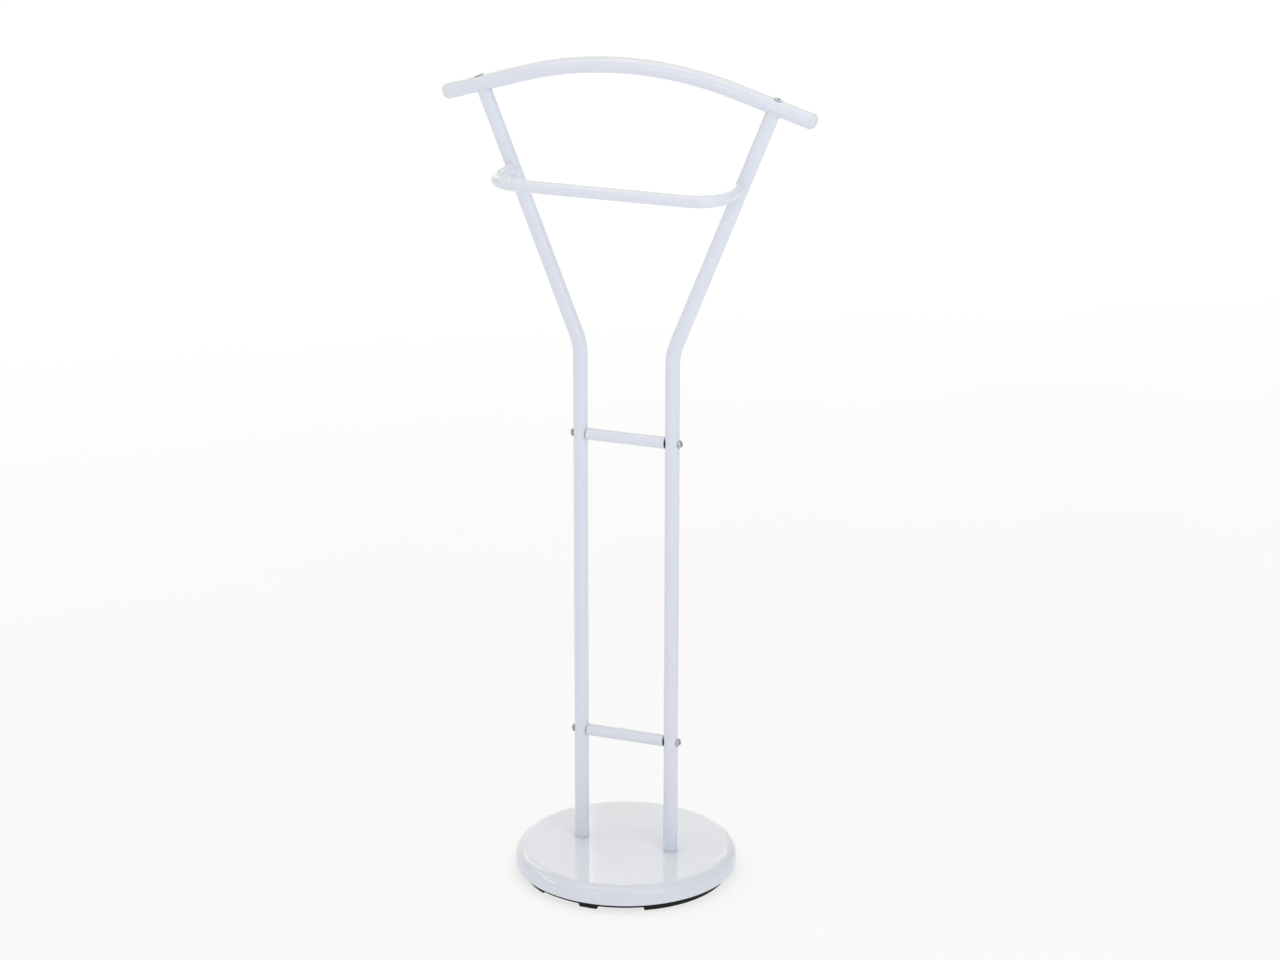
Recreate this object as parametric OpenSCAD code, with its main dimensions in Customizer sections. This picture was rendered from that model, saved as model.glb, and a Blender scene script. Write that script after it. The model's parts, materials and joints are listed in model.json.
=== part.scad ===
// Valet stand: a weighted round base, two uprights that lean out into a V,
// a curved shoulder bar on top, a U-shaped trouser bar and two rungs.
// Origin on the floor at the base's centre, +Z up, front towards -Y.

/* [Base] */
// Diameter of the round base
base_d = 280; // [240:5:340]
// Height of the base's flat top above the floor
base_h = 33; // [30:1:40]
// Radius of the cover's rounded top edge
base_edge_r = 14; // [8:1:16]
// Sheet thickness of the base cover
cover_t = 1.2; // [0.8:0.1:1.6]
// Height of the cover's lower rim above the floor
cover_rim_z = 11; // [9:1:12]

/* [Tray and feet] */
// Height of the moulded feet, which is also the height of the tray's underside
foot_h = 7; // [5:1:7]
// Wall thickness of the tray
tray_t = 2.5; // [2:0.5:3]
// Distance from the cover's outside in to the tray's outside
tray_inset = 4; // [3:0.5:6]
// Distance from the cover's outside in to the feet's outside
foot_inset = 10; // [8:1:24]
// Radial width of a foot
foot_w = 14; // [8:1:20]
// Angle that a long foot spans on the floor
long_foot_angle = 57; // [40:1:70]
// Angle that a short foot spans on the floor
short_foot_angle = 10; // [6:1:20]
// Length of the slope at each end of a foot
foot_slope = 2.5; // [1:0.5:4]

/* [Uprights] */
// Outside diameter of the uprights
upright_d = 18; // [16:0.5:22]
// Distance between the uprights' axes
upright_spacing = 120; // [100:5:160]
// Height where the upright's axis and the arm's axis cross
bend_z = 686; // [640:1:720]
// Centreline radius of the bend
bend_r = 70; // [50:5:90]
// Lean of the arms out from the vertical
arm_angle = 22; // [16:0.5:26]
// Wall thickness of the uprights, the rungs and the trouser bar
tube_t = 1.2; // [0.8:0.1:1.5]

/* [Shoulder bar] */
// Outside diameter of the shoulder bar
shoulder_d = 20; // [18:0.5:24]
// Wall thickness of the shoulder bar
shoulder_t = 1.5; // [1:0.1:1.8]
// Height of the bar's axis at its middle
shoulder_z = 1032.4; // [1000:0.1:1060]
// Centreline radius of the curved middle
shoulder_r = 476; // [420:1:560]
// Half of the angle that the curved middle spans
shoulder_half_angle = 16.7; // [12:0.1:20]
// Length of each straight end, without its cap
shoulder_end_len = 97.5; // [85:0.5:120]
// Height of the domed end caps
cap_dome_h = 7; // [4:0.5:9]

/* [Trouser bar] */
// Outside diameter of the trouser bar
trouser_d = 15; // [12:0.5:18]
// Height of the trouser bar's axis
trouser_z = 897; // [860:1:920]
// Distance from the arms' plane out to the front run's axis
trouser_reach = 83; // [60:1:110]
// Centreline radius of the two front corners
trouser_corner_r = 39; // [25:1:45]

/* [Rungs] */
// Outside diameter of the rungs
rung_d = 15; // [12:0.5:16]
// Height of the upper rung's axis
upper_rung_z = 572; // [450:1:600]
// Height of the lower rung's axis
lower_rung_z = 181; // [120:1:300]

/* [Hidden] */
$fn = 72;
sweep_fn = 360;

// Sides of the stand
LEFT = -1;
RIGHT = 1;
SIDES = [LEFT, RIGHT];

// Colours
enamel = [0.87, 0.89, 0.93];
cap_white = [0.91, 0.91, 0.90];
tray_black = [0.10, 0.10, 0.11];
zinc = [0.72, 0.73, 0.75];
brass = [0.78, 0.66, 0.38];
concrete = [0.62, 0.61, 0.59];

// Clearances: eps runs a cut past a face, slip is the gap round a piece in its hole
eps = 1;
slip = 0.1;

// A tube is slightly slimmer in a bend, and its straight runs taper into the bend
bend_slim = 0.05;
taper_len = 2;
taper_drop = 0.1;

// Rounds a worked-out length to a hundredth of a millimetre
function mm(length) = round(length * 100) / 100;

// Tubes
upright_r = upright_d / 2;
upright_x = upright_spacing / 2;
shoulder_tube_r = shoulder_d / 2;
trouser_r = trouser_d / 2;
rung_r = rung_d / 2;
rung_len = upright_spacing - upright_d;

// Plugs: the flange is the thin part between the tube's end and the next piece
flange_t = 1;
foot_flange_t = 3;
foot_flange_chamfer = 0.6;
plug_len = 25;
plug_rib_d = 0.6;
plug_rib_count = 4;

// M6 screws and the threaded inserts that take them
m6_d = 5.9;
m6_hole_d = 6.6;
m6_len = 40;
m6_head_d = 10.5;
m6_head_h = 3.3;
m6_socket = 4;
m6_socket_depth = 2.2;
m6_csk_d = 12;
m6_csk_lift = 0.4;
insert_d = 9;
insert_bore_d = 6;
insert_len = 14;
insert_depth = 4;

// M8 bolts that hold the uprights to the base
m8_d = 7.9;
m8_hole_d = 8.8;
m8_len = 45;
m8_head_d = 14;
m8_head_h = 4.4;
m8_socket = 5;
m8_socket_depth = 2.8;
m8_insert_d = 12;
m8_insert_bore_d = 8;
m8_insert_len = 16;
washer_d = 22;
washer_t = 1.6;

// Base: wells in the tray take the bolt heads, and the weight fills the cover
well_d = 24;
well_wall = 2;
well_roof_z = foot_h + m8_head_h + washer_t;
well_top_z = well_roof_z + well_wall;
tray_r = base_d / 2 - tray_inset;
tray_rim_top = 22;
tray_bead_z = 13;
tray_bead_h = 2;
weight_r = tray_r - tray_t - 1;
weight_edge_r = 10;
weight_bottom = foot_h + tray_t;
weight_top = base_h - cover_t;
foot_count = 3;
foot_end_h = 0.8;

// Bend in the uprights
bend_tangent = mm(bend_r * tan(arm_angle / 2));
bend_start_z = bend_z - bend_tangent;

// Shoulder bar: its straight end crosses the arm's axis at the seat point
shoulder_centre_z = shoulder_z - shoulder_r;
shoulder_end_x = mm(shoulder_r * sin(shoulder_half_angle));
shoulder_end_z = mm(shoulder_centre_z + shoulder_r * cos(shoulder_half_angle));
end_slope = tan(shoulder_half_angle);
arm_slope = tan(arm_angle);
seat_x = mm((upright_x + (shoulder_end_z - bend_z + shoulder_end_x * end_slope) * arm_slope)
    / (1 + end_slope * arm_slope));
seat_z = mm(bend_z + (seat_x - upright_x) / arm_slope);
arm_len = mm((seat_z - bend_z) / cos(arm_angle) - bend_tangent - shoulder_tube_r - flange_t);

// Trouser bar: its legs meet the arms' axes
trouser_x = mm(upright_x + (trouser_z - bend_z) * arm_slope);
trouser_end_y = -(upright_r + flange_t);

// ---------- Placing ----------

// Mirrors a right-hand piece onto the given side
module on_side(side) {
    if (side == LEFT) mirror([1, 0, 0]) children();
    else children();
}

// Local +Z becomes the right arm's axis, local zero the seat under the shoulder bar
module at_shoulder_seat() {
    translate([seat_x, 0, seat_z]) rotate([0, arm_angle, 0]) children();
}

// Local +Z points from the right end of a rung out to the right
module at_rung_end(z) {
    translate([upright_x - upright_r, 0, z]) rotate([0, 90, 0]) children();
}

// Local +Z points from the right leg of the trouser bar back to the arm's axis
module at_trouser_end() {
    translate([trouser_x, 0, trouser_z]) rotate([-90, 0, 0]) children();
}

// ---------- Shared shapes ----------

// Rod of radius r from height z0 to height z1
module rod(r, z0, z1) {
    translate([0, 0, z0]) cylinder(r = r, h = z1 - z0);
}

// Bend of a tube of radius r, about local Z from local +X
module bend(r, centreline_r, angle) {
    rotate_extrude(angle = angle, $fn = sweep_fn)
        translate([centreline_r, 0]) circle(r = r - bend_slim, $fn = 72);
}

// Straight run from z_end to a bend that begins at z_bend, with a taper that sinks into the bend
module run_to_bend(r, z_end, z_bend) {
    taper_end = z_bend + sign(z_bend - z_end) * taper_len;
    rotate_extrude()
        polygon([[0, z_end], [r, z_end], [r, z_bend], [r - taper_drop, taper_end], [0, taper_end]]);
}

// Path of an upright and its arm; extra lengthens both ends
module upright_path(r, extra) {
    translate([upright_x, 0, 0]) run_to_bend(r, base_h + foot_flange_t - extra, bend_start_z);
    translate([upright_x + bend_r, 0, bend_start_z]) mirror([1, 0, 0]) rotate([90, 0, 0])
        bend(r, bend_r, arm_angle);
    translate([upright_x, 0, bend_z]) rotate([0, arm_angle, 0])
        run_to_bend(r, bend_tangent + arm_len + extra, bend_tangent);
}

// Path of the shoulder bar; extra lengthens both ends
module shoulder_path(r, extra) {
    translate([0, 0, shoulder_centre_z]) rotate([90, 0, 0]) rotate([0, 0, 90 - shoulder_half_angle])
        bend(r, shoulder_r, 2 * shoulder_half_angle);
    for (side = SIDES) on_side(side) shoulder_end(r, shoulder_end_len + extra);
}

// Straight end of the shoulder bar on the right
module shoulder_end(r, len) {
    translate([shoulder_end_x, 0, shoulder_end_z]) rotate([0, 90 + shoulder_half_angle, 0])
        run_to_bend(r, len, 0);
}

// Path of the U-shaped trouser bar; extra lengthens both legs
module trouser_path(r, extra) {
    run = trouser_x - trouser_corner_r;
    corner_y = -(trouser_reach - trouser_corner_r);
    translate([0, 0, trouser_z]) for (side = SIDES) on_side(side) {
        translate([0, -trouser_reach, 0]) rotate([0, 90, 0]) run_to_bend(r, 0, run);
        translate([run, corner_y, 0]) rotate([0, 0, -90]) bend(r, trouser_corner_r, 90);
        translate([trouser_x, 0, 0]) rotate([-90, 0, 0])
            run_to_bend(r, trouser_end_y + extra, corner_y);
    }
}

// Ribbed spigot that is pushed down into a tube of radius bore_r, from z = 0
module spigot(bore_r) {
    core_r = bore_r - plug_rib_d;
    pitch = plug_len / plug_rib_count;
    rod(core_r, -plug_len, 0);
    for (i = [0 : plug_rib_count - 1]) rod(bore_r - slip, -pitch * (i + 0.6), -pitch * i);
}

// Pocket for an insert with its screw hole, down from z = 0
module insert_pocket(hole_d, d, len) {
    rod(hole_d / 2, -plug_len + 2, eps);
    rod(d / 2 + slip, -insert_depth - len, -insert_depth);
}

// Threaded insert, moulded into a plug with its top insert_depth below z = 0
module insert(d, bore_d, len) {
    color(brass) difference() {
        rod(d / 2, -insert_depth - len, -insert_depth);
        rod(bore_d / 2, -insert_depth - len - eps, -insert_depth + eps);
    }
}

// Hexagonal socket of the given width across flats, cut down from z = 0
module hex_socket(across_flats, depth) {
    translate([0, 0, -depth]) cylinder(d = across_flats / cos(30), h = depth + eps, $fn = 6);
}

// Button-head screw with its head's underside at z = 0 and its shank downwards
module button_screw(d, len, head_d, head_h, socket, socket_depth) {
    rim_h = head_h / 4;
    dome_h = head_h - rim_h;
    top_r = head_d / 3.2;
    centre_drop = (pow(head_d / 2, 2) - pow(top_r, 2) + pow(dome_h, 2)) / (2 * dome_h);
    dome_r = sqrt(pow(centre_drop, 2) + pow(top_r, 2));
    color(zinc) {
        difference() {
            intersection() {
                rod(head_d / 2, 0, head_h);
                translate([0, 0, head_h - centre_drop]) sphere(r = dome_r);
            }
            translate([0, 0, head_h]) hex_socket(socket, socket_depth);
        }
        rod(d / 2, -len, eps / 2);
    }
}

// Countersunk screw with its flat top at z = 0
module countersunk_screw(d, len, head_d, socket, socket_depth) {
    rim_h = 0.3;
    cone_h = (head_d - d) / 2;
    color(zinc) difference() {
        union() {
            rod(head_d / 2, -rim_h, 0);
            translate([0, 0, -rim_h - cone_h]) cylinder(r1 = d / 2, r2 = head_d / 2, h = cone_h);
            rod(d / 2, -len, -rim_h - cone_h);
        }
        hex_socket(socket, socket_depth);
    }
}

// Seat for a countersunk head whose flat top is at z = 0
module countersink(d, head_d) {
    cone_h = (head_d - d) / 2;
    translate([0, 0, -0.3 - cone_h]) cylinder(r1 = d / 2 + slip, r2 = head_d / 2 + slip, h = cone_h);
    rod(head_d / 2 + slip, -0.3, eps + 1);
}

// ---------- Base ----------

// Half section of a disc with a rounded upper edge
module rounded_disc_section(r, h, edge_r) {
    square([r - edge_r, h]);
    square([r, h - edge_r]);
    translate([r - edge_r, h - edge_r]) intersection() {
        circle(r = edge_r);
        square(edge_r);
    }
}

module base_cover() {
    color(enamel) difference() {
        rotate_extrude() difference() {
            rounded_disc_section(base_d / 2, base_h, base_edge_r);
            rounded_disc_section(base_d / 2 - cover_t, base_h - cover_t, base_edge_r - cover_t);
            square([base_d, cover_rim_z]);
        }
        for (x = [-upright_x, upright_x]) translate([x, 0, 0]) rod(m8_hole_d / 2, cover_rim_z, base_h + eps);
    }
}

module base_weight() {
    color(concrete) difference() {
        rotate_extrude() difference() {
            rounded_disc_section(weight_r, weight_top - slip, weight_edge_r);
            square([base_d, weight_bottom + slip]);
        }
        for (x = [-upright_x, upright_x]) translate([x, 0, 0]) {
            rod(m8_hole_d / 2, 0, base_h);
            rod(well_d / 2 + well_wall + slip, 0, well_top_z + slip);
        }
    }
}

// Foot centred on local -Y; it spans the angle on the floor, and each end slopes out from there
module foot(angle) {
    outer_r = base_d / 2 - foot_inset;
    inner_r = outer_r - foot_w;
    full_angle = angle + 2 * atan(foot_slope / (outer_r - foot_w / 2));
    lean = foot_slope / (foot_h - foot_end_h);
    difference() {
        rotate([0, 0, -90 - full_angle / 2]) rotate_extrude(angle = full_angle)
            translate([inner_r, 0]) square([foot_w, foot_h + tray_t / 2]);
        for (end = SIDES) rotate([0, 0, end * angle / 2]) translate([0, eps - inner_r, 0])
            rotate([90, 0, 0]) linear_extrude(foot_w + 2 * eps) scale([end, 1])
                polygon([[-lean * eps, -eps], [lean * base_h, base_h], [base_h, base_h], [base_h, -eps]]);
    }
}

module base_tray() {
    color(tray_black) difference() {
        union() {
            rod(tray_r, foot_h, foot_h + tray_t);
            difference() {
                union() {
                    rod(tray_r, foot_h, tray_rim_top);
                    rod(base_d / 2 - cover_t - slip, tray_bead_z, tray_bead_z + tray_bead_h);
                }
                rod(tray_r - tray_t, foot_h, tray_rim_top + eps);
            }
            for (x = [-upright_x, upright_x]) translate([x, 0, 0])
                rod(well_d / 2 + well_wall, foot_h, well_top_z);
            for (i = [0 : foot_count - 1]) {
                rotate([0, 0, 360 / foot_count * i]) foot(short_foot_angle);
                rotate([0, 0, 360 / foot_count * (i + 0.5)]) foot(long_foot_angle);
            }
        }
        for (x = [-upright_x, upright_x]) translate([x, 0, 0]) {
            rod(well_d / 2, 0, well_roof_z);
            rod(m8_hole_d / 2, 0, base_h);
        }
    }
}

// ---------- Uprights and their fixing to the base ----------

module foot_bolts() {
    for (side = SIDES) on_side(side) translate([upright_x, 0, foot_h + m8_head_h]) mirror([0, 0, 1])
        button_screw(m8_d, m8_len, m8_head_d, m8_head_h, m8_socket, m8_socket_depth);
}

module foot_washers() {
    color(zinc) for (side = SIDES) on_side(side) translate([upright_x, 0, 0]) difference() {
        rod(washer_d / 2, well_roof_z - washer_t, well_roof_z);
        rod(m8_hole_d / 2, 0, base_h);
    }
}

module foot_inserts() {
    for (side = SIDES) on_side(side) translate([upright_x, 0, base_h + foot_flange_t]) mirror([0, 0, 1])
        insert(m8_insert_d, m8_insert_bore_d, m8_insert_len);
}

module foot_plug(side) {
    color(cap_white) on_side(side) translate([upright_x, 0, base_h + foot_flange_t]) mirror([0, 0, 1])
        difference() {
            union() {
                spigot(upright_r - tube_t);
                rod(upright_r, 0, foot_flange_t - foot_flange_chamfer);
                translate([0, 0, foot_flange_t - foot_flange_chamfer]) cylinder(
                    r1 = upright_r, r2 = upright_r - foot_flange_chamfer, h = foot_flange_chamfer);
            }
            insert_pocket(m8_hole_d, m8_insert_d, m8_insert_len);
            rod(m8_hole_d / 2, 0, foot_flange_t + eps);
        }
}

module upright(side) {
    color(enamel) on_side(side) difference() {
        upright_path(upright_r, 0);
        upright_path(upright_r - tube_t, eps);
        for (z = [upper_rung_z, lower_rung_z]) at_rung_end(z) rod(m6_hole_d / 2, -eps, upright_d + eps);
        at_trouser_end() rod(m6_hole_d / 2, -upright_d, upright_d);
    }
}

// ---------- Rungs ----------

module rung(z) {
    color(enamel) translate([0, 0, z]) rotate([0, 90, 0]) difference() {
        rod(rung_r, -rung_len / 2, rung_len / 2);
        rod(rung_r - tube_t, -rung_len / 2 - eps, rung_len / 2 + eps);
    }
}

module rung_plug(side, z) {
    color(tray_black) on_side(side) at_rung_end(z) difference() {
        spigot(rung_r - tube_t);
        insert_pocket(m6_hole_d, insert_d, insert_len);
    }
}

module rung_inserts() {
    for (side = SIDES, z = [upper_rung_z, lower_rung_z])
        on_side(side) at_rung_end(z) insert(insert_d, insert_bore_d, insert_len);
}

module rung_screws() {
    for (side = SIDES, z = [upper_rung_z, lower_rung_z])
        on_side(side) at_rung_end(z) translate([0, 0, upright_d])
            button_screw(m6_d, m6_len, m6_head_d, m6_head_h, m6_socket, m6_socket_depth);
}

// ---------- Trouser bar ----------

module trouser_bar() {
    color(enamel) difference() {
        trouser_path(trouser_r, 0);
        trouser_path(trouser_r - tube_t, eps);
    }
}

module trouser_plug(side) {
    color(cap_white) on_side(side) difference() {
        at_trouser_end() {
            translate([0, 0, trouser_end_y]) spigot(trouser_r - tube_t);
            rod(trouser_r, trouser_end_y, 0);
        }
        upright_path(upright_r + slip / 2, 0);
        at_trouser_end() translate([0, 0, trouser_end_y]) {
            insert_pocket(m6_hole_d, insert_d, insert_len);
            rod(m6_hole_d / 2, 0, upright_d);
        }
    }
}

module trouser_inserts() {
    for (side = SIDES) on_side(side) at_trouser_end() translate([0, 0, trouser_end_y])
        insert(insert_d, insert_bore_d, insert_len);
}

module trouser_screws() {
    for (side = SIDES) on_side(side) at_trouser_end() translate([0, 0, upright_r])
        button_screw(m6_d, m6_len, m6_head_d, m6_head_h, m6_socket, m6_socket_depth);
}

// ---------- Shoulder bar ----------

module shoulder_bar() {
    color(enamel) difference() {
        shoulder_path(shoulder_tube_r, 0);
        shoulder_path(shoulder_tube_r - shoulder_t, eps);
        for (side = SIDES) on_side(side) at_shoulder_seat() {
            rod(m6_hole_d / 2, -shoulder_d, 0);
            translate([0, 0, shoulder_tube_r + m6_csk_lift]) countersink(m6_d, m6_csk_d);
        }
    }
}

module arm_plug(side) {
    flange_z = -(shoulder_tube_r + flange_t);
    color(cap_white) on_side(side) difference() {
        at_shoulder_seat() {
            translate([0, 0, flange_z]) spigot(upright_r - tube_t);
            rod(upright_r, flange_z, 0);
        }
        shoulder_end(shoulder_tube_r + slip / 2, shoulder_end_len);
        at_shoulder_seat() translate([0, 0, flange_z]) {
            insert_pocket(m6_hole_d, insert_d, insert_len);
            rod(m6_hole_d / 2, 0, shoulder_d);
        }
    }
}

module shoulder_inserts() {
    for (side = SIDES) on_side(side) at_shoulder_seat()
        translate([0, 0, -(shoulder_tube_r + flange_t)]) insert(insert_d, insert_bore_d, insert_len);
}

module shoulder_screws() {
    for (side = SIDES) on_side(side) at_shoulder_seat()
        translate([0, 0, shoulder_tube_r + m6_csk_lift])
            countersunk_screw(m6_d, m6_len, m6_csk_d, m6_socket, m6_socket_depth);
}

module end_cap(side) {
    dome_r = (pow(shoulder_tube_r, 2) + pow(cap_dome_h, 2)) / (2 * cap_dome_h);
    color(cap_white) on_side(side) translate([shoulder_end_x, 0, shoulder_end_z])
        rotate([0, 90 + shoulder_half_angle, 0]) translate([0, 0, shoulder_end_len]) {
            intersection() {
                translate([0, 0, cap_dome_h - dome_r]) sphere(r = dome_r);
                rod(shoulder_tube_r, 0, cap_dome_h + eps);
            }
            spigot(shoulder_tube_r - shoulder_t);
        }
}

base_cover();
base_weight();
base_tray();
foot_bolts();
foot_washers();
foot_inserts();
foot_plug(LEFT);  // left_foot_plug
foot_plug(RIGHT);  // right_foot_plug
upright(LEFT);  // left_upright
upright(RIGHT);  // right_upright
rung(upper_rung_z);  // upper_rung
rung(lower_rung_z);  // lower_rung
rung_plug(LEFT, upper_rung_z);  // upper_rung_left_plug
rung_plug(RIGHT, upper_rung_z);  // upper_rung_right_plug
rung_plug(LEFT, lower_rung_z);  // lower_rung_left_plug
rung_plug(RIGHT, lower_rung_z);  // lower_rung_right_plug
rung_inserts();
rung_screws();
trouser_bar();
trouser_plug(LEFT);  // left_trouser_plug
trouser_plug(RIGHT);  // right_trouser_plug
trouser_inserts();
trouser_screws();
shoulder_bar();
arm_plug(LEFT);  // left_arm_plug
arm_plug(RIGHT);  // right_arm_plug
shoulder_inserts();
shoulder_screws();
end_cap(LEFT);  // left_end_cap
end_cap(RIGHT);  // right_end_cap
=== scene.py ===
"""Looks of the valet stand: finer meshes for its visible parts, materials, and a plain studio."""

import json
import math

import bmesh
import bpy
from mathutils import Matrix, Vector


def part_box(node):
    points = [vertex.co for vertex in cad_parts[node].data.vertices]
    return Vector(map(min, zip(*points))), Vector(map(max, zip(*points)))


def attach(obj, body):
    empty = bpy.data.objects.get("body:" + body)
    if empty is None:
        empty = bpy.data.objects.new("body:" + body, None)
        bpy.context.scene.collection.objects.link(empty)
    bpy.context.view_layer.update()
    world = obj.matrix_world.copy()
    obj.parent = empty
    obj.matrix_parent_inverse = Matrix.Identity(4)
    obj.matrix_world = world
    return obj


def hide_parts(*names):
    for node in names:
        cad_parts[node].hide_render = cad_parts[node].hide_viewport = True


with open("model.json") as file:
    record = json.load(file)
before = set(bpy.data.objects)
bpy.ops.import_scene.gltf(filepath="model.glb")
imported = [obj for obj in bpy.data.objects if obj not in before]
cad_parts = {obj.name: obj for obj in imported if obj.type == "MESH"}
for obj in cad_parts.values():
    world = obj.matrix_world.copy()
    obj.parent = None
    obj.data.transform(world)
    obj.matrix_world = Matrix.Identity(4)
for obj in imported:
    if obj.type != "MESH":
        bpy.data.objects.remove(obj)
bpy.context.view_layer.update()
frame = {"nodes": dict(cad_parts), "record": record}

# ---------- Settings: sizes are in metres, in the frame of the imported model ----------

MM = 0.001
X, Y, Z = Vector((1, 0, 0)), Vector((0, 1, 0)), Vector((0, 0, 1))
LEFT, RIGHT = -1, 1
SIDES = (LEFT, RIGHT)
SIDE_NAMES = {LEFT: "left", RIGHT: "right"}
QUARTER_TURN = math.pi / 2

# Angles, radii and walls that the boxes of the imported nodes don't give
ARM_LEAN = math.radians(22)
ARM_BEND_R = 70 * MM
SHOULDER_R = 476 * MM
SHOULDER_HALF_ANGLE = math.radians(16.7)
TROUSER_CORNER_R = 39 * MM
BASE_EDGE_R = 14 * MM
WALL = 1.2 * MM
SHOULDER_WALL = 1.5 * MM
COVER_T = 1.2 * MM
FLANGE_T = 1 * MM
CUT_EDGE_R = 0.25 * MM
COVER_LIP_H = 1 * MM

# Screws and their holes
BUTTON_R = 5.25 * MM
BUTTON_H = 3.3 * MM
BUTTON_FLAT_R = BUTTON_R / 1.6
BUTTON_RIM_H = BUTTON_H / 5
BUTTON_RIM_ROUND = 0.2 * MM
COUNTERSUNK_R = 6 * MM
COUNTERSUNK_RIM_H = 0.3 * MM
COUNTERSUNK_LIFT = 0.4 * MM
COUNTERSINK_PLAY = 0.1 * MM
SHANK_R = 2.95 * MM
SHANK_LEN = 40 * MM
SHANK_CHAMFER = 0.6 * MM
SHANK_FILLET_R, SHANK_FILLET_H = 0.2 * MM, 0.3 * MM
SCREW_HOLE_R = 3.3 * MM
BOLT_HOLE_R = 4.4 * MM
SOCKET_ACROSS = 4 * MM
SOCKET_DEPTH = 2.2 * MM
SOCKET_CHAMFER = 0.35 * MM

# How far the shapes that cut the holes reach past what they cut
COUNTERSINK_ABOVE, COUNTERSINK_BELOW = 4 * MM, 30 * MM
SOCKET_OVERCUT = 1 * MM
LEAD_IN_OVERCUT = 0.2 * MM
LEAD_IN_INSET = 0.15 * MM

# End caps: the plug inside the bar, and the fine seam round the dome's foot
CAP_PLUG_LEN = 25 * MM
CAP_PLUG_PLAY = 0.1 * MM
CAP_PLUG_CHAMFER = 0.5 * MM
CAP_SEAM, CAP_SEAM_DROP = 0.25 * MM, 0.02 * MM

# How finely round shapes are built, and how close points are merged
SHARP_ANGLE = math.radians(38)
TUBE_SIDES = 72
COVER_SIDES = 256
SCREW_SIDES = 64
EDGE_SUPPORT = 1.5 * MM
SAME_POINT = 1e-7
SLIVER = 5e-6

# Camera: where it looks from and what it looks at. Angles are in degrees, its lens and sensor in millimetres.
VIEW_AZIMUTH = 21.044
VIEW_ELEVATION = 18.517
VIEW_ROLL = 0.108
VIEW_DISTANCE = 4.1893
AIM_HEIGHT = 0.51827
AIM_RIGHT = 0.01686
LENS = 96.26
SENSOR_WIDTH = 36
FAR_CLIP = 200

# Floor, which glows more from GLOW_START to GLOW_END away from the stand, and the surroundings
FLOOR_HALF = 40
FLOOR_GAP = 0.1 * MM
FLOOR_GLOW, FLOOR_GLOW_FAR = 0.74, 0.86
GLOW_START, GLOW_END = 1, 5
BACKDROP = (0.96, 0.96, 0.96)
ROOM_GLOW = (0.56, 0.55, 0.53)

# Each lamp's azimuth, distance along the floor, height of its middle, width and height of its face, and its
# brightness in red, green and blue. The azimuth is in degrees: 0 is the front and 90 is the right.
LAMP_TARGET_Z = 0.6
SOFTBOXES = {
    "right_softbox": (53, 2.2, 1.45, 2.3, 1.2, (0.42, 0.52, 0.55)),
    "right_softbox_middle": (53, 2.15, 1.15, 0.8, 0.6, (0.94, 0.81, 0.45)),
    "left_softbox": (-14, 2.9, 1.55, 1, 0.7, (1.23, 1.36, 1.84)),
    "overhead": (0, 0.01, 2.9, 1.8, 1.8, (1.16, 0.91, 0.56)),
    "overhead_left": (-60, 1.3, 2.95, 1, 0.9, (1.05, 1.06, 0.97)),
    "backdrop_180": (180, 5, 1.3, 1.3, 2.4, (0.47, 0.40, 0.32)),
    "backdrop_195": (195, 5, 1.3, 1.3, 2.4, (0.83, 0.80, 0.74)),
    "backdrop_210": (210, 5, 1.3, 1.3, 2.4, (0.74, 0.75, 0.74)),
    "backdrop_225": (225, 5, 1.3, 1.3, 2.4, (0.61, 0.58, 0.58)),
    "backdrop_240": (240, 5, 1.3, 1.3, 2.4, (0.37, 0.35, 0.19)),
    "backdrop_high_187": (187, 5, 3.4, 1.9, 1.8, (0.90, 0.94, 0.94)),
    "backdrop_high_209": (209, 5, 3.4, 1.9, 1.8, (0.13, 0.14, 0.10)),
    "backdrop_high_231": (231, 5, 3.4, 1.9, 1.8, (1.64, 1.63, 1.18)),
    "right_high": (50, 2.2, 2.9, 1.8, 1, (1.50, 2.20, 2.89)),
    "low_window": (-70, 6, 2.85, 2.2, 0.28, (8.00, 8.00, 8.00)),
    "high_window": (-88, 6, 4.4, 2.2, 0.28, (7.00, 7.00, 7.00)),
}

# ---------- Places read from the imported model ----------

cover_low, cover_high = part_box("base_cover")
base_r = (cover_high.x - cover_low.x) / 2
base_top = cover_high.z
cover_rim_z = cover_low.z

upright_low, upright_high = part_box("right_upright")
upright_r = (upright_high.y - upright_low.y) / 2
upright_x = upright_low.x + upright_r
upright_foot_z = upright_low.z

rung_low, rung_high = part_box("upper_rung")
rung_r = (rung_high.z - rung_low.z) / 2
rung_half = rung_high.x
RUNG_Z = {name: sum(corner.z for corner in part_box(name)) / 2 for name in ("upper_rung", "lower_rung")}

trouser_low, trouser_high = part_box("trouser_bar")
trouser_r = (trouser_high.z - trouser_low.z) / 2
trouser_z = (trouser_high.z + trouser_low.z) / 2
trouser_x = trouser_high.x - trouser_r
trouser_front_y = trouser_low.y + trouser_r
trouser_end_y = trouser_high.y

shoulder_low, shoulder_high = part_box("shoulder_bar")
shoulder_r = (shoulder_high.y - shoulder_low.y) / 2
shoulder_z = shoulder_high.z - shoulder_r

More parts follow.
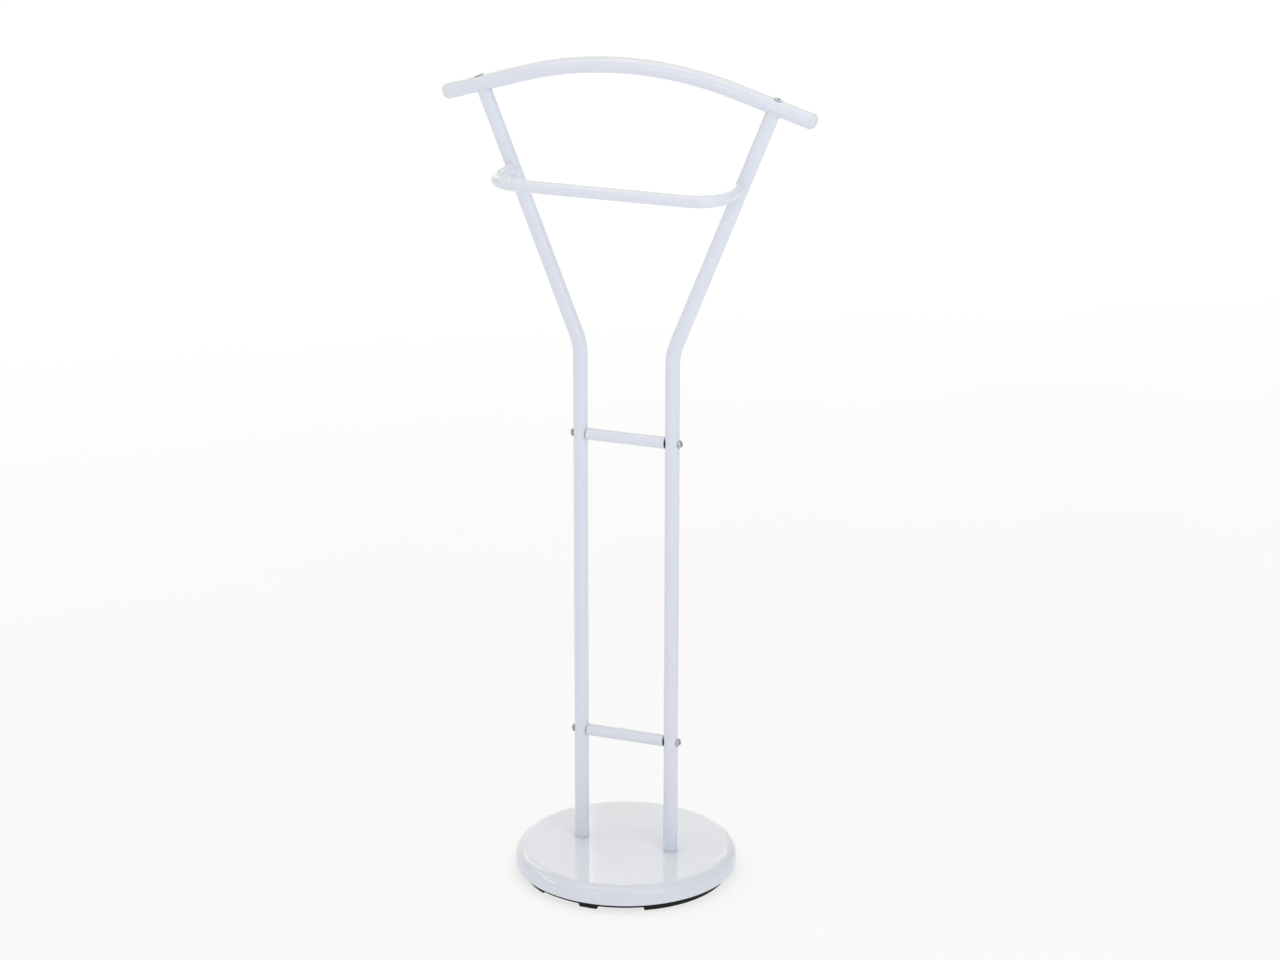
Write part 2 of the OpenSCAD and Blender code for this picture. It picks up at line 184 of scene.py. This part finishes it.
# The arm's axis leaves the upright's axis at bend_z and meets the shoulder bar's axis at the seat
bend_z = trouser_z - (trouser_x - upright_x) / math.tan(ARM_LEAN)
bend_tangent = ARM_BEND_R * math.tan(ARM_LEAN / 2)
arm_axis = Vector((math.sin(ARM_LEAN), 0, math.cos(ARM_LEAN)))
shoulder_end_x = SHOULDER_R * math.sin(SHOULDER_HALF_ANGLE)
shoulder_end_z = shoulder_z - SHOULDER_R * (1 - math.cos(SHOULDER_HALF_ANGLE))
end_slope, lean_slope = math.tan(SHOULDER_HALF_ANGLE), math.tan(ARM_LEAN)
seat_rise = shoulder_end_z - bend_z + shoulder_end_x * end_slope
seat_x = (upright_x + seat_rise * lean_slope) / (1 + end_slope * lean_slope)
seat = Vector((seat_x, 0, bend_z + (seat_x - upright_x) / lean_slope))

# The shoulder bar's straight right end runs from shoulder_end along shoulder_axis to shoulder_tip
shoulder_end = Vector((shoulder_end_x, 0, shoulder_end_z))
shoulder_axis = Vector((math.cos(SHOULDER_HALF_ANGLE), 0, -math.sin(SHOULDER_HALF_ANGLE)))
shoulder_tip_x = shoulder_high.x - shoulder_r * math.sin(SHOULDER_HALF_ANGLE)
shoulder_end_len = (shoulder_tip_x - shoulder_end_x) / math.cos(SHOULDER_HALF_ANGLE)
shoulder_tip = shoulder_end + shoulder_end_len * shoulder_axis


def mirrored(point, side):
    """The point, or its mirror image on the stand's left."""
    return Vector((side * point.x, point.y, point.z))


def standing_at(point, axis):
    """Matrix that puts a piece's own Z along the axis at the point."""
    return Matrix.Translation(point) @ axis.to_track_quat("Z", "Y").to_matrix().to_4x4()


# ---------- Mesh building ----------


def add_object(name, data):
    """A new object in the scene, with that mesh, lamp or camera."""
    obj = bpy.data.objects.new(name, data)
    bpy.context.scene.collection.objects.link(obj)
    return obj


def finished_mesh(name, bm):
    """A mesh from bm, with merged points, outward normals and smooth shading between its sharp edges."""
    bmesh.ops.remove_doubles(bm, verts=bm.verts, dist=SAME_POINT)
    bmesh.ops.recalc_face_normals(bm, faces=bm.faces)
    mesh = bpy.data.meshes.new(name)
    bm.to_mesh(mesh)
    bm.free()
    for face in mesh.polygons:
        face.use_smooth = True
    mesh.set_sharp_from_angle(angle=SHARP_ANGLE)
    return mesh


def skin(bm, rings, closed):
    """Joins rings of points with faces; closed also joins the last ring to the first."""
    made = [[bm.verts.new(point) for point in ring] for ring in rings]
    pairs = zip(made, made[1:] + made[:1]) if closed else zip(made, made[1:])
    for low, high in pairs:
        for i in range(len(low)):
            j = (i + 1) % len(low)
            bm.faces.new((low[i], low[j], high[j], high[i]))


def circle(centre, across, along, radius, sides):
    """Points round a circle, from the across direction towards the along direction."""
    turns = (math.tau * i / sides for i in range(sides))
    return [centre + radius * (math.cos(t) * across + math.sin(t) * along) for t in turns]


def arc(centre_r, centre_z, radius, start, end, steps):
    """Points (r, z) on an arc of a lathe's section, from angle start to angle end in degrees."""
    turns = [math.radians(start + (end - start) * i / steps) for i in range(steps + 1)]
    return [(centre_r + radius * math.cos(t), centre_z + radius * math.sin(t)) for t in turns]


def lathe(name, section, sides=96):
    """Turned mesh about Z, from a section of points (r, z) that starts and ends on the axis."""
    bm = bmesh.new()
    skin(bm, [circle(z * Z, X, Y, max(r, 0), sides) for r, z in section], closed=False)
    bmesh.ops.remove_doubles(bm, verts=bm.verts, dist=SAME_POINT)
    bmesh.ops.dissolve_degenerate(bm, edges=bm.edges, dist=SAME_POINT / 10)
    return finished_mesh(name, bm)


class Path:
    """Centre line of a bent tube: stations of (point, direction) in a plane with the normal axis."""

    # Close stations on both sides of a hole keep the tube's faces small there, so that it cuts cleanly
    HOLE_REACH, HOLE_STEPS = 9 * MM, 12
    END_SUPPORT = 2 * MM
    BEND_STEP = math.radians(1.5)

    def __init__(self, start, direction, axis):
        self.axis = axis
        self.stations = [(start.copy(), direction.normalized())]

    def go(self, length, holes=()):
        """Straight run, with close stations at its ends and round holes at those distances along it."""
        start, direction = self.stations[-1]
        marks = {self.END_SUPPORT, length - self.END_SUPPORT, length}
        for hole in holes:
            steps = range(-self.HOLE_STEPS, self.HOLE_STEPS + 1)
            marks |= {hole + self.HOLE_REACH * i / self.HOLE_STEPS for i in steps}
        self.stations += [(start + direction * m, direction) for m in sorted(marks) if 0 < m <= length]
        return self

    def turn(self, radius, angle):
        """Bend about the path's axis."""
        start, direction = self.stations[-1]
        centre = start + radius * self.axis.cross(direction)
        steps = math.ceil(angle / self.BEND_STEP)
        for i in range(1, steps + 1):
            turned = Matrix.Rotation(angle * i / steps, 3, self.axis)
            self.stations.append((centre + turned @ (start - centre), turned @ direction))
        return self


def tube(name, path, radius, wall):
    """Hollow tube along the path, with its cut edges rounded."""
    corner = [QUARTER_TURN * i / 4 for i in range(5)]
    inset = [(CUT_EDGE_R * (1 - math.sin(t)), CUT_EDGE_R * (1 - math.cos(t))) for t in corner]
    rings = []

    def add(point, direction, r):
        rings.append(circle(point, path.axis, direction.cross(path.axis), r, TUBE_SIDES))

    (first, first_dir), (last, last_dir) = path.stations[0], path.stations[-1]
    # Each point of the rounding is (depth below the tube's side, distance from its end)
    for depth, drop in inset:
        add(first + first_dir * drop, first_dir, radius - depth)
    for point, direction in path.stations[1:-1]:
        add(point, direction, radius)
    for depth, drop in reversed(inset):
        add(last - last_dir * drop, last_dir, radius - depth)
    for depth, drop in inset:
        add(last - last_dir * drop, last_dir, radius - wall + depth)
    for point, direction in reversed(path.stations[1:-1]):
        add(point, direction, radius - wall)
    for depth, drop in reversed(inset):
        add(first + first_dir * drop, first_dir, radius - wall + depth)
    bm = bmesh.new()
    skin(bm, rings, closed=True)
    return finished_mesh(name, bm)


def rod(radius, start, end, sides=48):
    """Mesh of a plain cylinder between two points."""
    axis = (end - start).normalized()
    # Turned by half a side, so that its corners miss the edge lines of what it cuts
    across = Matrix.Rotation(math.pi / sides, 3, axis) @ axis.orthogonal().normalized()
    bm = bmesh.new()
    ends = [circle(point, across, axis.cross(across), radius, sides) for point in (start, end)]
    skin(bm, ends, closed=False)
    bm.verts.ensure_lookup_table()
    for ring in (bm.verts[:sides], bm.verts[sides:]):
        bm.faces.new(ring)
    return finished_mesh("cutter", bm)


def cut(mesh, cutters):
    """The mesh with the cutter meshes taken out of it."""
    body = add_object("body_to_cut", mesh)
    for cutter in cutters:
        tool = add_object("cutting_tool", cutter)
        modifier = body.modifiers.new("cut", "BOOLEAN")
        modifier.operation = "DIFFERENCE"
        modifier.solver = "EXACT"
        modifier.object = tool
        graph = bpy.context.evaluated_depsgraph_get()
        result = bpy.data.meshes.new_from_object(body.evaluated_get(graph), depsgraph=graph)
        body.modifiers.clear()
        body.data = result
        bpy.data.objects.remove(tool)
    bm = bmesh.new()
    bm.from_mesh(body.data)
    bpy.data.objects.remove(body)
    # The cutting leaves slivers a few micrometres wide
    bmesh.ops.remove_doubles(bm, verts=bm.verts, dist=SLIVER)
    bmesh.ops.dissolve_degenerate(bm, edges=bm.edges, dist=SLIVER)
    return finished_mesh(mesh.name, bm)


def placed_copies(name, mesh, places):
    """One mesh that holds a copy of the given mesh at each place."""
    bm = bmesh.new()
    for place in places:
        copy = mesh.copy()
        copy.transform(place)
        bm.from_mesh(copy)
        bpy.data.meshes.remove(copy)
    return finished_mesh(name, bm)


# ---------- Materials ----------


class Surface:
    """A material with a Principled shader, whose patterns are worked out from places in metres."""

    NOISE_ROUGHNESS = 0.55

    def __init__(self, name, **constants):
        self.material = bpy.data.materials.new(name)
        self.material.use_nodes = True
        self.tree = self.material.node_tree
        self.shader = self.tree.nodes["Principled BSDF"]
        self.place = self.tree.nodes.new("ShaderNodeTexCoord").outputs["Object"]
        for socket, value in constants.items():
            self.shader.inputs[socket.replace("_", " ")].default_value = value

    def feed(self, target, value):
        """Gives an input socket a constant or the output of another node."""
        if isinstance(value, bpy.types.NodeSocket):
            self.tree.links.new(value, target)
        else:
            target.default_value = value

    def node(self, kind, **inputs):
        made = self.tree.nodes.new(kind)
        for socket, value in inputs.items():
            self.feed(made.inputs[socket.replace("_", " ")], value)
        return made

    def height(self):
        """Height above the floor."""
        return self.node("ShaderNodeSeparateXYZ", Vector=self.place).outputs["Z"]

    def noise(self, size, detail=3, stretch=(1, 1, 1)):
        """Cloudy pattern from 0 to 1 whose features are about size metres across."""
        place = self.node("ShaderNodeMapping", Vector=self.place, Scale=stretch).outputs["Vector"]
        made = self.node("ShaderNodeTexNoise", Vector=place, Scale=1 / size, Detail=detail,
                         Roughness=self.NOISE_ROUGHNESS)
        return made.outputs["Fac"]

    def cells(self, size):
        """Distance from cell centres, for grains of about size metres."""
        return self.node("ShaderNodeTexVoronoi", Vector=self.place, Scale=1 / size).outputs["Distance"]

    def ranged(self, value, low, high, start, end):
        """Turns a value that goes from start to end into one that goes from low to high."""
        made = self.node("ShaderNodeMapRange", Value=value)
        made.inputs["From Min"].default_value = start
        made.inputs["From Max"].default_value = end
        made.inputs["To Min"].default_value = low
        made.inputs["To Max"].default_value = high
        return made.outputs["Result"]

    def product(self, first, second):
        made = self.tree.nodes.new("ShaderNodeMath")
        made.operation = "MULTIPLY"
        self.feed(made.inputs[0], first)
        self.feed(made.inputs[1], second)
        return made.outputs["Value"]

    def blend(self, factor, first, second):
        """Colour between two, each of which is (r, g, b) or the output of another node."""
        made = self.tree.nodes.new("ShaderNodeMix")
        made.data_type = "RGBA"
        self.feed(made.inputs["Factor"], factor)
        # A Mix node has sockets of each type under the same names, and these are the colour ones
        for target, value in ((made.inputs[6], first), (made.inputs[7], second)):
            self.feed(target, (*value, 1) if isinstance(value, tuple) else value)
        return made.outputs[2]

    def colour(self, socket):
        self.feed(self.shader.inputs["Base Color"], socket)

    def roughness(self, noise, low, high, start=0.3, end=0.7):
        """Roughness that wanders from low to high as a noise pattern goes from start to end."""
        self.feed(self.shader.inputs["Roughness"], self.ranged(noise, low, high, start, end))

    def bumps(self, *layers):
        """Relief from (height pattern, depth in metres) layers."""
        target = self.shader.inputs["Normal"]
        for height, depth in reversed(layers):
            made = self.node("ShaderNodeBump", Strength=1.0, Distance=depth, Height=height)
            self.feed(target, made.outputs["Normal"])
            target = made.inputs["Normal"]


def white_enamel():
    """Glossy powder coat: faint clouding, specks of dust, fine orange peel, and scuffs on the base's rim."""
    s = Surface("white_enamel", IOR=1.5)
    clouds = s.blend(s.noise(60 * MM, detail=4), (0.750, 0.770, 0.862), (0.764, 0.784, 0.874))
    # A faint dot about half a millimetre across in the middle of each cell
    specks = s.ranged(s.cells(7 * MM), 0.16, 0, start=0.03, end=0.05)
    rim = s.ranged(s.height(), 0.5, 0, start=cover_rim_z + 0.2 * MM, end=cover_rim_z + 1.6 * MM)
    scuffs = s.product(rim, s.ranged(s.noise(4 * MM, detail=6), 0, 1, start=0.5, end=0.65))
    dusty = s.blend(specks, clouds, (0.55, 0.56, 0.58))
    s.colour(s.blend(scuffs, dusty, (0.50, 0.50, 0.50)))
    s.roughness(s.noise(25 * MM), 0.030, 0.060)
    s.bumps((s.noise(2.4 * MM, detail=1), 0.002 * MM), (s.noise(22 * MM, detail=0), 0.008 * MM))
    return s.material


def white_plastic():
    """Moulded plugs and caps: a little warmer and softer than the enamel, with fine moulding grain."""
    s = Surface("white_plastic", IOR=1.49, Subsurface_Weight=0.08, Subsurface_Scale=1.5 * MM)
    s.colour(s.blend(s.noise(9 * MM), (0.735, 0.752, 0.785), (0.765, 0.778, 0.805)))
    s.roughness(s.noise(4 * MM), 0.27, 0.38)
    s.bumps((s.noise(0.5 * MM, detail=2), 0.006 * MM))
    return s.material


def black_plastic():
    """Tray, feet and rung plugs: fine spark-eroded grain, greyer where the feet rub on the floor."""
    s = Surface("black_plastic", IOR=1.48, Specular_IOR_Level=0.15)
    rubbed = s.ranged(s.height(), 1, 0, start=0.2 * MM, end=1.6 * MM)
    scuffs = s.product(rubbed, s.ranged(s.noise(3 * MM, detail=6), 0, 1, start=0.42, end=0.62))
    base = s.blend(s.noise(18 * MM), (0.0115, 0.0118, 0.0135), (0.0165, 0.0168, 0.0185))
    s.colour(s.blend(scuffs, base, (0.085, 0.083, 0.080)))
    s.roughness(s.noise(2 * MM), 0.42, 0.60)
    s.bumps((s.cells(0.45 * MM), 0.02 * MM), (s.noise(6 * MM), 0.03 * MM))
    return s.material


def zinc_steel():
    """Bright zinc plate on steel, with faint turning marks and dull patches."""
    s = Surface("zinc_steel", Metallic=1.0)
    s.colour(s.blend(s.noise(1.6 * MM, detail=5), (0.42, 0.43, 0.45), (0.62, 0.63, 0.64)))
    s.roughness(s.noise(0.8 * MM, detail=4), 0.14, 0.32)
    s.bumps((s.noise(0.25 * MM, stretch=(1, 1, 6)), 0.008 * MM))
    return s.material


def insert_brass():
    """Turned brass with fine tool marks and a little tarnish."""
    s = Surface("insert_brass", Metallic=1.0)
    s.colour(s.blend(s.noise(3 * MM, detail=4), (0.56, 0.40, 0.14), (0.70, 0.53, 0.22)))
    s.roughness(s.noise(1.2 * MM), 0.25, 0.45)
    s.bumps((s.noise(0.2 * MM, detail=2, stretch=(1, 1, 8)), 0.006 * MM))
    return s.material


def ballast_concrete():
    """Cast concrete: grey cement, paler sand grains and air pits."""
    s = Surface("ballast_concrete", IOR=1.5)
    cement = s.blend(s.noise(30 * MM, detail=8), (0.25, 0.245, 0.235), (0.36, 0.355, 0.34))
    grains = s.ranged(s.cells(2.5 * MM), 0.6, 0, start=0, end=0.35)
    s.colour(s.blend(grains, cement, (0.46, 0.44, 0.40)))
    s.roughness(s.noise(5 * MM), 0.80, 0.95, start=0, end=1)
    pits = s.ranged(s.cells(6 * MM), 0, 1, start=0.08, end=0.22)
    s.bumps((s.noise(3 * MM, detail=8), 0.25 * MM), (pits, 0.6 * MM))
    return s.material


MATERIALS = {
    make.__name__: make()
    for make in (white_enamel, white_plastic, black_plastic, zinc_steel, insert_brass, ballast_concrete)
}


def coat_cad_nodes():
    """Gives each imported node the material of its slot."""
    for part in frame["record"]["subparts"]:
        mesh = frame["nodes"][part["node"]].data
        mesh.materials.clear()
        mesh.materials.append(MATERIALS[part["material_slot"]])


def add_piece(name, mesh, slot, *stands_for):
    """Shows a mesh as a piece of the stand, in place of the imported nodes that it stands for."""
    mesh.name = name
    mesh.materials.clear()
    mesh.materials.append(MATERIALS[slot])
    piece = add_object(name, mesh)
    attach(piece, "root")
    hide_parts(*stands_for)


# ---------- Pieces ----------


def cover_section(outer_r, top_z, edge_r):
    """Section from the axis over the top and round the edge, without the rim."""
    flat = [(0, top_z), (outer_r - edge_r - EDGE_SUPPORT, top_z)]
    return flat + arc(outer_r - edge_r, top_z - edge_r, edge_r, 90, 0, steps=18)


def add_base_cover():
    """Pressed cover with a rounded edge, a rolled lower rim and the two bolt holes."""
    rim_r = COVER_T / 2
    wall_foot_z = cover_rim_z + rim_r + COVER_LIP_H
    outer = cover_section(base_r, base_top, BASE_EDGE_R)
    inner = cover_section(base_r - COVER_T, base_top - COVER_T, BASE_EDGE_R - COVER_T)
    section = outer + [(base_r, wall_foot_z)]
    section += arc(base_r - rim_r, cover_rim_z + rim_r, rim_r, 0, -180, steps=8)
    section += [(base_r - COVER_T, wall_foot_z)] + inner[::-1]
    mesh = lathe("cover", section, sides=COVER_SIDES)
    holes = []
    for side in SIDES:
        below = Vector((side * upright_x, 0, 0))
        holes.append(rod(BOLT_HOLE_R, below, below + 2 * base_top * Z))
    add_piece("base_cover_shell", cut(mesh, holes), "white_enamel", "base_cover")


def add_uprights():
    """Uprights with their bend and their holes for the rungs' and the trouser bar's screws."""
    lower_len = bend_z - bend_tangent - upright_foot_z
    arm_len = (seat.z - bend_z) / math.cos(ARM_LEAN) - bend_tangent - shoulder_r - FLANGE_T
    trouser_at = (trouser_z - bend_z) / math.cos(ARM_LEAN) - bend_tangent
    rungs_at = [z - upright_foot_z for z in RUNG_Z.values()]
    for side in SIDES:
        name = SIDE_NAMES[side] + "_upright"
        path = Path(mirrored(Vector((upright_x, 0, upright_foot_z)), side), Z, side * Y)
        path.go(lower_len, rungs_at).turn(ARM_BEND_R, ARM_LEAN).go(arm_len, [trouser_at])
        centres = [(Vector((side * upright_x, 0, z)), side * X) for z in RUNG_Z.values()]
        centres.append((Vector((side * trouser_x, 0, trouser_z)), Y))
        holes = [rod(SCREW_HOLE_R, centre - 2 * upright_r * axis, centre + 2 * upright_r * axis)
                 for centre, axis in centres]
        add_piece(name + "_tube", cut(tube(name, path, upright_r, WALL), holes), "white_enamel", name)


def add_rungs():
    """Straight-cut rungs."""
    for name, z in RUNG_Z.items():
        path = Path(Vector((-rung_half, 0, z)), X, Y).go(2 * rung_half)
        add_piece(name + "_tube", tube(name, path, rung_r, WALL), "white_enamel", name)


def add_trouser_bar():
    """U-shaped bar from the left arm round the front to the right arm."""
    leg = trouser_end_y - trouser_front_y - TROUSER_CORNER_R
    run = 2 * (trouser_x - TROUSER_CORNER_R)
    path = Path(Vector((-trouser_x, trouser_end_y, trouser_z)), -Y, Z)
    path.go(leg).turn(TROUSER_CORNER_R, QUARTER_TURN).go(run).turn(TROUSER_CORNER_R, QUARTER_TURN).go(leg)
    add_piece("trouser_bar_tube", tube("trouser_bar", path, trouser_r, WALL), "white_enamel", "trouser_bar")


def countersunk_section(head_r, above, below):
    """Section of a countersunk head on a shank, from the axis at the bottom up; z = 0 is the head's top."""
    cone_foot_z = -COUNTERSUNK_RIM_H - (head_r - SHANK_R)
    shank = [(0, -below), (SHANK_R, -below), (SHANK_R, cone_foot_z)]
    return shank + [(head_r, -COUNTERSUNK_RIM_H), (head_r, above), (0, above)]


def add_shoulder_bar():
    """Curved bar with countersunk holes in line with the arms."""
    seat_at = (seat - shoulder_end).dot(shoulder_axis)
    path = Path(mirrored(shoulder_tip, LEFT), -mirrored(shoulder_axis, LEFT), Y)
    path.go(shoulder_end_len, [shoulder_end_len - seat_at]).turn(SHOULDER_R, 2 * SHOULDER_HALF_ANGLE)
    path.go(shoulder_end_len, [seat_at])
    cutters = []
    for side in SIDES:
        middle, axis = mirrored(seat, side), mirrored(arm_axis, side)
        cutters.append(rod(SCREW_HOLE_R, middle - 2 * shoulder_r * axis, middle))
        head_r = COUNTERSUNK_R + COUNTERSINK_PLAY
        sink = lathe("sink", countersunk_section(head_r, COUNTERSINK_ABOVE, COUNTERSINK_BELOW))
        sink.transform(standing_at(middle + (shoulder_r + COUNTERSUNK_LIFT) * axis, axis))
        cutters.append(sink)
    mesh = cut(tube("shoulder_bar", path, shoulder_r, SHOULDER_WALL), cutters)
    add_piece("shoulder_bar_tube", mesh, "white_enamel", "shoulder_bar")


def hexagon_socket(mesh, top_z):
    """Cuts a hexagonal socket with a lead-in chamfer down into the mesh from height top_z."""
    corner_r = SOCKET_ACROSS / 2 / math.cos(math.radians(30))
    low_z, high_z = top_z - SOCKET_CHAMFER, top_z + LEAD_IN_OVERCUT
    low_r, high_r = corner_r - LEAD_IN_INSET, corner_r + SOCKET_CHAMFER
    lead_in = lathe("lead_in", [(0, low_z), (low_r, low_z), (high_r, high_z), (0, high_z)], sides=48)
    socket = rod(corner_r, (top_z - SOCKET_DEPTH) * Z, (top_z + SOCKET_OVERCUT) * Z, sides=6)
    return cut(mesh, [socket, lead_in])


def button_screw():
    """Button-head screw whose head stands on z = 0."""
    # The dome is an arc from the rim's top to the edge of the flat, with its centre this far below the flat
    dome_h = BUTTON_H - BUTTON_RIM_H
    drop = (BUTTON_R ** 2 - BUTTON_FLAT_R ** 2 + dome_h ** 2) / (2 * dome_h)
    dome_r = math.hypot(drop, BUTTON_FLAT_R)
    start = math.degrees(math.asin((drop - dome_h) / dome_r))
    end = math.degrees(math.asin(drop / dome_r))
    section = [(0, -SHANK_LEN), (SHANK_R - SHANK_CHAMFER, -SHANK_LEN), (SHANK_R, -SHANK_LEN + SHANK_CHAMFER),
               (SHANK_R, -SHANK_FILLET_H), (SHANK_R + SHANK_FILLET_R, 0), (BUTTON_R - BUTTON_RIM_ROUND, 0)]
    section += arc(BUTTON_R - BUTTON_RIM_ROUND, BUTTON_RIM_ROUND, BUTTON_RIM_ROUND, -90, 0, steps=3)[1:]
    section += arc(0, BUTTON_H - drop, dome_r, start, end, steps=12)
    section += [(0, BUTTON_H)]
    return hexagon_socket(lathe("button_screw", section, sides=SCREW_SIDES), BUTTON_H)


def countersunk_screw():
    """Countersunk screw whose flat top is at z = 0."""
    section = countersunk_section(COUNTERSUNK_R, above=0, below=SHANK_LEN)
    return hexagon_socket(lathe("countersunk_screw", section, sides=SCREW_SIDES), 0)


def add_screws():
    """The visible screws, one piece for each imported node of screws."""
    on_bar = seat + (shoulder_r + COUNTERSUNK_LIFT) * arm_axis
    rung_places, trouser_places, shoulder_places = [], [], []
    for side in SIDES:
        outside = side * (upright_x + upright_r)
        rung_places += [standing_at(Vector((outside, 0, z)), side * X) for z in RUNG_Z.values()]
        trouser_places.append(standing_at(Vector((side * trouser_x, upright_r, trouser_z)), Y))
        shoulder_places.append(standing_at(mirrored(on_bar, side), mirrored(arm_axis, side)))
    button, countersunk = button_screw(), countersunk_screw()
    for node, mesh, places in (
            ("rung_screws", button, rung_places),
            ("trouser_screws", button, trouser_places),
            ("shoulder_screws", countersunk, shoulder_places)):
        add_piece(node + "_set", placed_copies(node, mesh, places), "zinc_steel", node)


def add_end_caps():
    """Domed caps with a fine seam where their rim meets the shoulder bar."""
    plug_r = shoulder_r - SHOULDER_WALL - CAP_PLUG_PLAY
    # The dome is half an ellipsoid, so its height follows from how far it reaches along X
    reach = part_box("right_end_cap")[1].x - shoulder_tip.x
    dome_h = math.sqrt(reach ** 2 - (shoulder_r * shoulder_axis.z) ** 2) / shoulder_axis.x
    section = [(0, -CAP_PLUG_LEN), (plug_r - CAP_PLUG_CHAMFER, -CAP_PLUG_LEN),
               (plug_r, -CAP_PLUG_LEN + CAP_PLUG_CHAMFER), (plug_r, 0),
               (shoulder_r - CAP_SEAM, 0), (shoulder_r - CAP_SEAM_DROP, CAP_SEAM)]
    dome = [(shoulder_r * r, dome_h * z) for r, z in arc(0, 0, 1, 0, 90, steps=16)]
    section += [point for point in dome if point[1] > CAP_SEAM]
    for side in SIDES:
        node = SIDE_NAMES[side] + "_end_cap"
        mesh = lathe(node, section)
        mesh.transform(standing_at(mirrored(shoulder_tip, side), mirrored(shoulder_axis, side)))
        add_piece(node + "_dome", mesh, "white_plastic", node)


# ---------- Studio ----------


def mixed_shaders(tree, factor, first, second):
    """Output of a shader that is the first where the factor is 0, and the second where it is 1."""
    mix = tree.nodes.new("ShaderNodeMixShader")
    for source, target in zip((factor, first, second), mix.inputs):
        tree.links.new(source, target)
    return mix.outputs["Shader"]


def add_softbox(name, azimuth, away, height, width, tall, brightness):
    """Rectangular lamp facing the stand, from the settings that SOFTBOXES lists."""
    a = math.radians(azimuth)
    spot = Vector((away * math.sin(a), -away * math.cos(a), height))
    lamp = bpy.data.lights.new(name, "AREA")
    lamp.shape = "RECTANGLE"
    lamp.size, lamp.size_y = width, tall
    # With this power the face's own brightness is the one asked for, whatever its size
    peak = max(brightness)
    lamp.energy = peak * math.pi * width * tall
    lamp.color = [level / peak for level in brightness]
    obj = add_object(name, lamp)
    obj.visible_camera = False
    obj.matrix_world = standing_at(spot, spot - LAMP_TARGET_Z * Z)


def add_floor():
    """Pale floor, far wider than the view. From below it is clear, so that the underside can be seen."""
    bm = bmesh.new()
    bmesh.ops.create_grid(bm, x_segments=1, y_segments=1, size=FLOOR_HALF)
    mesh = bpy.data.meshes.new("floor")
    bm.to_mesh(mesh)
    bm.free()
    floor = add_object("floor", mesh)
    floor.location.z = -FLOOR_GAP
    s = Surface("pale_floor", Roughness=0.9, Specular_IOR_Level=0.2)
    s.colour(s.blend(s.noise(0.4), (0.215, 0.215, 0.215), (0.235, 0.235, 0.235)))
    # It glows a little more beyond the lamps' reach, so that it meets the backdrop without a line
    reach = s.node("ShaderNodeVectorMath", Vector=s.place)
    reach.operation = "LENGTH"
    glow = s.ranged(reach.outputs["Value"], FLOOR_GLOW, FLOOR_GLOW_FAR, start=GLOW_START, end=GLOW_END)
    s.feed(s.shader.inputs["Emission Color"], (1, 1, 1, 1))
    s.feed(s.shader.inputs["Emission Strength"], glow)
    from_below = s.node("ShaderNodeNewGeometry").outputs["Backfacing"]
    clear = s.node("ShaderNodeBsdfTransparent").outputs["BSDF"]
    seen = mixed_shaders(s.tree, from_below, s.shader.outputs["BSDF"], clear)
    s.feed(s.tree.nodes["Material Output"].inputs["Surface"], seen)
    mesh.materials.append(s.material)


def add_sky():
    """Soft light from all round, which the camera itself sees as a white backdrop."""
    world = bpy.data.worlds.new("studio")
    bpy.context.scene.world = world
    world.use_nodes = True
    nodes = world.node_tree.nodes
    backdrop = nodes.new("ShaderNodeBackground")
    backdrop.inputs["Color"].default_value = (*BACKDROP, 1)
    fill = nodes["Background"]
    fill.inputs["Color"].default_value = (*ROOM_GLOW, 1)
    to_camera = nodes.new("ShaderNodeLightPath").outputs["Is Camera Ray"]
    tree = world.node_tree
    sky = mixed_shaders(tree, to_camera, fill.outputs["Background"], backdrop.outputs["Background"])
    tree.links.new(sky, nodes["World Output"].inputs["Surface"])


def add_lights():
    """The studio's light: the sky, panels behind, lamps at the sides and above, and two narrow windows."""
    add_sky()
    for name, settings in SOFTBOXES.items():
        add_softbox(name, *settings)


def add_camera():
    """Camera at the angle, height and distance from which the photo shows the stand."""
    data = bpy.data.cameras.new("camera")
    data.sensor_width = SENSOR_WIDTH
    data.lens = LENS
    data.clip_end = FAR_CLIP
    obj = add_object("camera", data)
    a, e = math.radians(VIEW_AZIMUTH), math.radians(VIEW_ELEVATION)
    right = Vector((math.cos(a), math.sin(a), 0))
    back = Vector((math.sin(a) * math.cos(e), -math.cos(a) * math.cos(e), math.sin(e)))
    target = AIM_HEIGHT * Z + AIM_RIGHT * right
    roll = Matrix.Rotation(math.radians(VIEW_ROLL), 4, "Z")
    obj.matrix_world = standing_at(target + VIEW_DISTANCE * back, back) @ roll
    bpy.context.scene.camera = obj


coat_cad_nodes()
add_base_cover()
add_uprights()
add_rungs()
add_trouser_bar()
add_shoulder_bar()
add_screws()
add_end_caps()
add_camera()
add_floor()
add_lights()

bpy.context.scene.view_settings.view_transform = "Standard"
